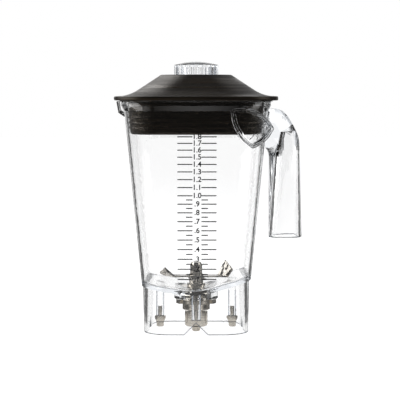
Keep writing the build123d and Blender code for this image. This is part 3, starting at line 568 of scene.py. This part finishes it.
def skirt_edge(look):
    """Bead on the skirt's lower edge.

    Its path is a rounded square that climbs over the notch in the middle of each straight side. The climb is
    the notch's height times one less the distance from its middle over its half width.
    """
    points, out = rounded_outline(look.skirt_half, look.skirt_half, look.skirt_corner, SKIRT_POINTS)
    across = np.min(np.abs(points), axis=1)
    straight = np.any(np.abs(out) > ALONG_AXIS, axis=1)
    climb = np.where(straight, np.clip(1 - across / (look.notch_width / 2), 0, 1), 0) * look.notch_height
    path = np.column_stack([points - look.bead * out, climb + look.bead * BEAD_LIFT])
    return tube(path, np.column_stack([out, 0 * climb]), look.bead)


def grip_edge(look):
    """Bead on the grip's open lower end: a rounded rectangle at the height of the end."""
    points, out = rounded_outline(look.grip_half_x, look.grip_half_y, look.grip_corner, GRIP_POINTS)
    path = np.column_stack([points - look.bead * out + [look.grip_x, 0], np.full(len(points), look.grip_z)])
    return tube(path, np.column_stack([out, np.zeros(len(points))]), look.bead)


def bowed(start, end, bow):
    """Points on a parabola from start to end, whose middle stands off the straight line by the bow."""
    share = np.linspace(0, 1, ARC_POINTS, endpoint=False)[:, None]
    start, end = np.array(start), np.array(end)
    along = end - start
    across = np.array([along[1], -along[0]]) / np.linalg.norm(along)
    return start + along * share - across * bow * 4 * share * (1 - share)


def lobe_edge(look, wall, side):
    """Bead round a lobe of the handle: three bowed lines between its root, tip and foot, on the lobe's face.

    The face stands off the wall by the lobe's height as far as the swell. From there it turns back round the
    jar's corner on a circle that touches the face's line and ends at the turn, so the circle's radius is the
    turn's squared distance from the swell over twice its depth. The side is 1 at the front, -1 at the back.
    """
    root, tip, foot = look.lobe_root, look.lobe_tip, look.lobe_foot
    across, height = np.concatenate([bowed(root, tip, look.lobe_top), bowed(tip, foot, look.lobe_side),
                                     bowed(foot, root, look.lobe_left)]).T
    half = wall.reach + (height - wall.foot) * math.tan(wall.lean)
    wide, deep = half + look.lobe_turn - look.lobe_swell, look.lobe_depth + look.lobe_stand
    radius = (wide ** 2 + deep ** 2) / (2 * deep)
    past = np.clip(across - look.lobe_swell, 0, FACE_END * radius)
    back = radius - np.sqrt(radius ** 2 - past ** 2)
    path = np.column_stack([across, side * (back - half - look.lobe_stand), height])
    normal = np.column_stack([past / radius, side * (back / radius - 1), 0 * past])
    return tube(path, normal, look.lobe_bead)


class DressMouldings(bpy.types.Operator):
    """Give the jar and the filler cap their clear plastic"""

    bl_idname = "jar_looks.mouldings"
    bl_label = "Clear mouldings"

    def execute(self, context):
        look = context.scene.jar_looks.plastic
        dress(["jar"], clear_copolyester(look, False))
        dress(["filler_cap"], clear_copolyester(look, True))
        return {"FINISHED"}


class RoundEdges(bpy.types.Operator):
    """Lay the rounded edges along the skirt, the grip and the lobes; the skirt's and the grip's are grey lines
    of painted shade
    """

    bl_idname = "jar_looks.edges"
    bl_label = "Rounded edges"

    def execute(self, context):
        looks = context.scene.jar_looks
        line, clear = edge_shade_line(looks.plastic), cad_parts["jar"].data.materials[0]
        # The skirt's and the grip's beads carry the grey line of painted shade; the lobes' beads are clear
        # plastic
        for name, (points, faces), finish in (
                ("skirt_edge", skirt_edge(looks.edges), line),
                ("grip_edge", grip_edge(looks.edges), line),
                ("lobe_edge_front", lobe_edge(looks.edges, looks.scale, 1), clear),
                ("lobe_edge_back", lobe_edge(looks.edges, looks.scale, -1), clear)):
            piece = mesh_piece(name, points, faces, finish, "jar_body")
            piece.data.shade_smooth()
        return {"FINISHED"}


class DressLid(bpy.types.Operator):
    """Give the lid its black rubber"""

    bl_idname = "jar_looks.lid"
    bl_label = "Lid"

    def execute(self, context):
        dress(["lid"], lid_rubber(context.scene.jar_looks.rubber))
        return {"FINISHED"}


class DressCutter(bpy.types.Operator):
    """Give the blades their ground steel"""

    bl_idname = "jar_looks.cutter"
    bl_label = "Cutter blades"

    def execute(self, context):
        dress(["upper_blade", "lower_blade"], ground_steel(context.scene.jar_looks.steel))
        return {"FINISHED"}


class DressTurned(bpy.types.Operator):
    """Give the drive, the blade nut and the studs their turned steel"""

    bl_idname = "jar_looks.turned"
    bl_label = "Turned pieces"

    def execute(self, context):
        studs = [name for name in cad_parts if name.startswith("stud_")]
        drive = ["bearing_housing", "retaining_nut", "nut_washer", "drive_coupling", "cutter_shaft",
                 "blade_spacer", "blade_washer", "blade_nut", "bearing_spacer", "retaining_ring"]
        dress(drive + studs, turned_steel(context.scene.jar_looks.steel))
        return {"FINISHED"}


class DressBearings(bpy.types.Operator):
    """Give the bearings their polished steel"""

    bl_idname = "jar_looks.bearings"
    bl_label = "Bearings"

    def execute(self, context):
        dress(["upper_bearing", "lower_bearing"], bearing_steel(context.scene.jar_looks.steel))
        return {"FINISHED"}


class DressSeals(bpy.types.Operator):
    """Give the rings, the gasket and the shaft seal their matt rubber"""

    bl_idname = "jar_looks.seals"
    bl_label = "Seals"

    def execute(self, context):
        rings = [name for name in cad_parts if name.startswith("ring_")]
        dress(rings + ["floor_gasket", "shaft_seal"], seal_rubber(context.scene.jar_looks.rubber))
        return {"FINISHED"}


class PrintScale(bpy.types.Operator):
    """Print the litre scale on the front wall"""

    bl_idname = "jar_looks.scale"
    bl_label = "Printed scale"

    def execute(self, context):
        look = context.scene.jar_looks.scale
        ink = printing_ink(look)
        points, faces = line_plates(look)
        mesh_piece("scale_lines", points, faces, ink, "jar_body")
        all_points, all_faces, count = [], [], 0
        for tenth in range(1, LONG_LINES + 1):
            text = f"{tenth / 10:.1f}".lstrip("0")
            flat, triangles = figure_mesh(text, look)
            height = np.full(len(flat), scale_height(tenth / 10))
            all_points.append(on_wall(look, look.middle + flat[:, 0], height, flat[:, 1],
                                      flat[:, 2] + look.film * (FILM_GAP + 0.5)))
            all_faces.append(triangles + count)
            count += len(flat)
        mesh_piece("scale_figures", np.concatenate(all_points), np.concatenate(all_faces), ink, "jar_body")
        return {"FINISHED"}


def levels_by_ray(tree, way, look):
    """Nodes that tell the kinds of rays apart, with the level that mirrored rays meet along a direction.

    "camera" is 1 for rays straight from the camera, and "seen" also for those that only went through plastic.
    "mirror" is 1 for reflected rays and "soft" for those that a matt surface has scattered. "behind" is white
    where the direction's share along +Y is high and the dim room elsewhere, dimmer in front than behind.
    "axes" are the direction's shares along X, Y and Z.
    """
    kinds = add_node(tree, "ShaderNodeLightPath").outputs
    soft = add_node(tree, "ShaderNodeMath", OVER, i0=kinds["Diffuse Depth"], i1=NO_TURN)
    turns = add_node(tree, "ShaderNodeMath", {"operation": "ADD"}, i0=kinds["Glossy Depth"],
                     i1=kinds["Diffuse Depth"])
    plain = add_node(tree, "ShaderNodeMath", BELOW, i0=turns.outputs[0], i1=NO_TURN)
    seen = add_node(tree, "ShaderNodeMath", LARGER, i0=kinds["Is Camera Ray"],
                    i1=kinds["Is Transmission Ray"])
    seen = add_node(tree, "ShaderNodeMath", MULTIPLY, i0=seen.outputs[0], i1=plain.outputs[0])
    unit = add_node(tree, "ShaderNodeVectorMath", {"operation": "NORMALIZE"}, i0=way)
    axes = add_node(tree, "ShaderNodeSeparateXYZ", Vector=unit.outputs[0]).outputs
    room = add_node(tree, "ShaderNodeMapRange", Value=axes["Y"], From_Min=FRONT, From_Max=BACK,
                    To_Min=look.room_front, To_Max=look.room)
    behind = add_node(tree, "ShaderNodeMapRange", SMOOTH, Value=axes["Y"], From_Min=look.backdrop_edge,
                      From_Max=look.backdrop_full, To_Min=room.outputs[0])
    mirror = add_node(tree, "ShaderNodeMath", OVER, i0=kinds["Glossy Depth"], i1=NO_TURN)
    mirror = add_node(tree, "ShaderNodeMath", {"operation": "SUBTRACT", "use_clamp": True},
                      i0=mirror.outputs[0], i1=soft.outputs[0])
    return {"camera": kinds["Is Camera Ray"], "seen": seen.outputs[0], "mirror": mirror.outputs[0],
            "soft": soft.outputs[0], "behind": behind.outputs[0], "axes": axes}


class SetStage(bpy.types.Operator):
    """Set the camera, the floor, the backdrop and the lamps"""

    bl_idname = "jar_looks.stage"
    bl_label = "Stage"

    def execute(self, context):
        look = context.scene.jar_looks.stage
        scene = context.scene
        scene.view_settings.view_transform = "Standard"
        scene.cycles.max_bounces = CLEAR_BOUNCES
        scene.cycles.transmission_bounces = CLEAR_BOUNCES
        scene.cycles.glossy_bounces = MIRROR_BOUNCES
        self.place_camera(scene, look)
        self.lay_floor(scene, look)
        self.hang_backdrop(scene, look)
        self.hang_lamps(scene)
        return {"FINISHED"}

    def place_camera(self, scene, look):
        """Camera at the photograph's angle."""
        camera = bpy.data.cameras.new("Camera")
        camera.lens = look.lens
        camera.sensor_width = SENSOR
        eye = bpy.data.objects.new("Camera", camera)
        eye.location = look.eye
        eye.rotation_euler = (math.pi / 2 - look.tilt, 0, 0)
        scene.collection.objects.link(eye)
        scene.camera = eye

    def lay_floor(self, scene, look):
        """White paper floor that keeps the object's shadow.

        Straight it is near white. Through plastic it is near white too, with a painted shadow that makes it a
        little darker under the jar. In reflections it is pale near the jar, has bright bands further ahead, and
        shows the backdrop and the room elsewhere.
        """
        mesh = bpy.data.meshes.new("floor")
        mesh.from_pydata([(x * FLOOR_HALF, y * FLOOR_HALF, -FLOOR_DROP)
                          for x, y in ((-1, -1), (1, -1), (1, 1), (-1, 1))], [], [(0, 1, 2, 3)])
        floor = bpy.data.objects.new("floor", mesh)
        scene.collection.objects.link(floor)
        material, tree = new_material("White studio paper")
        # Matt paper scatters the light evenly and keeps a soft shadow, with no shine of its own
        paper = add_node(tree, "ShaderNodeBsdfPrincipled", Base_Color=look.paper, Roughness=0.9,
                         Specular_IOR_Level=0.0)
        place = add_node(tree, "ShaderNodeTexCoord").outputs["Object"]
        rays = levels_by_ray(tree, place, look)
        axes = rays["axes"]
        away = add_node(tree, "ShaderNodeVectorMath", DISTANCE, i0=place).outputs["Value"]
        # Painted shadow: seen through plastic, the floor's glow drops under the jar
        under = add_node(tree, "ShaderNodeMapRange", SMOOTH, Value=away, From_Min=SHADOW_UNDER_JAR[0],
                         From_Max=SHADOW_UNDER_JAR[1], To_Min=look.through * look.painted_shadow_share, To_Max=look.through)
        level = add_node(tree, "ShaderNodeMapRange", Value=rays["camera"], To_Min=under.outputs[0],
                         To_Max=look.floor_white)
        level = add_node(tree, "ShaderNodeMath", MULTIPLY, i0=level.outputs[0], i1=rays["seen"])
        glow = add_node(tree, "ShaderNodeEmission", Strength=level.outputs[0])
        both = add_node(tree, "ShaderNodeAddShader", i0=paper.outputs[0], i1=glow.outputs[0])
        near = add_node(tree, "ShaderNodeMapRange", SMOOTH, Value=away, From_Min=NEAR_JAR[0],
                        From_Max=NEAR_JAR[1], To_Min=look.near_floor, To_Max=0.0)
        ahead = add_node(tree, "ShaderNodeMapRange", SMOOTH, Value=away, From_Min=AHEAD[0],
                         From_Max=AHEAD[1], To_Min=look.near_floor, To_Max=0.0)
        front = add_node(tree, "ShaderNodeMapRange", SMOOTH, Value=axes["Y"], From_Min=FRONT,
                         From_Max=BACK, To_Min=1.0, To_Max=0.0)
        ahead = add_node(tree, "ShaderNodeMath", MULTIPLY, i0=ahead.outputs[0], i1=front.outputs[0])
        turn = add_node(tree, "ShaderNodeMath", MULTIPLY, i0=axes["X"], i1=look.cards)
        cards = add_node(tree, "ShaderNodeMath", {"operation": "COSINE"}, i0=turn.outputs[0])
        cards = add_node(tree, "ShaderNodeMapRange", Value=cards.outputs[0], From_Min=-1.0,
                         To_Min=BETWEEN_CARDS, To_Max=1.0)
        ahead = add_node(tree, "ShaderNodeMath", MULTIPLY, i0=ahead.outputs[0], i1=cards.outputs[0])
        level = add_node(tree, "ShaderNodeMath", LARGER, i0=near.outputs[0], i1=rays["behind"])
        level = add_node(tree, "ShaderNodeMath", LARGER, i0=level.outputs[0], i1=ahead.outputs[0])
        shine = add_node(tree, "ShaderNodeEmission", Strength=level.outputs[0])
        mix = add_node(tree, "ShaderNodeMixShader", i0=rays["mirror"], i1=both.outputs[0],
                       i2=shine.outputs[0])
        add_node(tree, "ShaderNodeOutputMaterial", Surface=mix.outputs[0])
        mesh.materials.append(material)

    def hang_backdrop(self, scene, look):
        """White backdrop behind the object in a dim room."""
        world = bpy.data.worlds.new("Studio")
        scene.world = world
        world.use_nodes = True
        tree = world.node_tree
        tree.nodes.clear()
        way = add_node(tree, "ShaderNodeTexCoord").outputs["Generated"]
        rays = levels_by_ray(tree, way, look)
        top = add_node(tree, "ShaderNodeMapRange", SMOOTH, Value=rays["axes"]["Z"], From_Min=TOP_FADE[0],
                       From_Max=TOP_FADE[1], To_Min=1.0, To_Max=TOP_LEVEL)
        mirrored = add_node(tree, "ShaderNodeMath", MULTIPLY, i0=rays["behind"], i1=top.outputs[0])
        mirrored = add_node(tree, "ShaderNodeMath", MULTIPLY, i0=mirrored.outputs[0], i1=rays["mirror"])
        level = add_node(tree, "ShaderNodeMapRange", Value=rays["camera"], To_Min=look.through)
        level = add_node(tree, "ShaderNodeMath", MULTIPLY, i0=level.outputs[0], i1=rays["seen"])
        level = add_node(tree, "ShaderNodeMath", LARGER, i0=level.outputs[0], i1=mirrored.outputs[0])
        soft = add_node(tree, "ShaderNodeMath", MULTIPLY, i0=rays["soft"], i1=look.fill)
        level = add_node(tree, "ShaderNodeMath", LARGER, i0=level.outputs[0], i1=soft.outputs[0])
        sky = add_node(tree, "ShaderNodeBackground", Color=linear("#FFFFFF"), Strength=level.outputs[0])
        add_node(tree, "ShaderNodeOutputWorld", Surface=sky.outputs[0])

    def hang_lamps(self, scene):
        """Soft boxes that face the jar's middle and stay out of the picture."""
        target = Vector(LAMP_TARGET)
        for name, place, width, height, watts in SOFT_BOXES:
            lamp = bpy.data.lights.new(name, "AREA")
            lamp.shape = "RECTANGLE"
            lamp.size, lamp.size_y = width, height
            lamp.energy = watts
            box = bpy.data.objects.new(name, lamp)
            box.location = place
            box.rotation_euler = (target - box.location).to_track_quat("-Z", "Y").to_euler()
            box.visible_camera = False
            scene.collection.objects.link(box)


OPERATORS = (SetStage, DressMouldings, RoundEdges, DressLid, DressCutter, DressTurned, DressBearings,
             DressSeals, PrintScale)
GROUPS = (ClearPlastic, RoundedEdges, LidRubber, SteelFinish, ScalePrint, StageSet, JarLooks)


class JarPanel(bpy.types.Panel):
    """Lists the steps that dress the jar, with their sizes and colours"""

    bl_idname = "VIEW3D_PT_jar_looks"
    bl_label = "Jar looks"
    bl_space_type = "VIEW_3D"
    bl_region_type = "UI"
    bl_category = "Jar"

    def draw(self, context):
        for step in OPERATORS:
            self.layout.operator(step.bl_idname)
        looks = context.scene.jar_looks
        for group in (looks.plastic, looks.edges, looks.rubber, looks.steel, looks.scale, looks.stage):
            box = self.layout.box()
            for name in group.bl_rna.properties.keys():
                if name not in ("rna_type", "name"):
                    box.prop(group, name)


def register():
    """Register the classes and hang the properties on the scene."""
    for item in GROUPS + OPERATORS + (JarPanel,):
        bpy.utils.register_class(item)
    bpy.types.Scene.jar_looks = bpy.props.PointerProperty(name="Jar looks", description="Looks of the jar",
                                                          type=JarLooks)


def unregister():
    """Take the properties and the classes away again."""
    del bpy.types.Scene.jar_looks
    for item in reversed(GROUPS + OPERATORS + (JarPanel,)):
        bpy.utils.unregister_class(item)


def main():
    """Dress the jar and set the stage."""
    register()
    bpy.ops.jar_looks.stage()
    bpy.ops.jar_looks.mouldings()
    bpy.ops.jar_looks.edges()
    bpy.ops.jar_looks.lid()
    bpy.ops.jar_looks.cutter()
    bpy.ops.jar_looks.turned()
    bpy.ops.jar_looks.bearings()
    bpy.ops.jar_looks.seals()
    bpy.ops.jar_looks.scale()


if __name__ == "__main__":
    main()
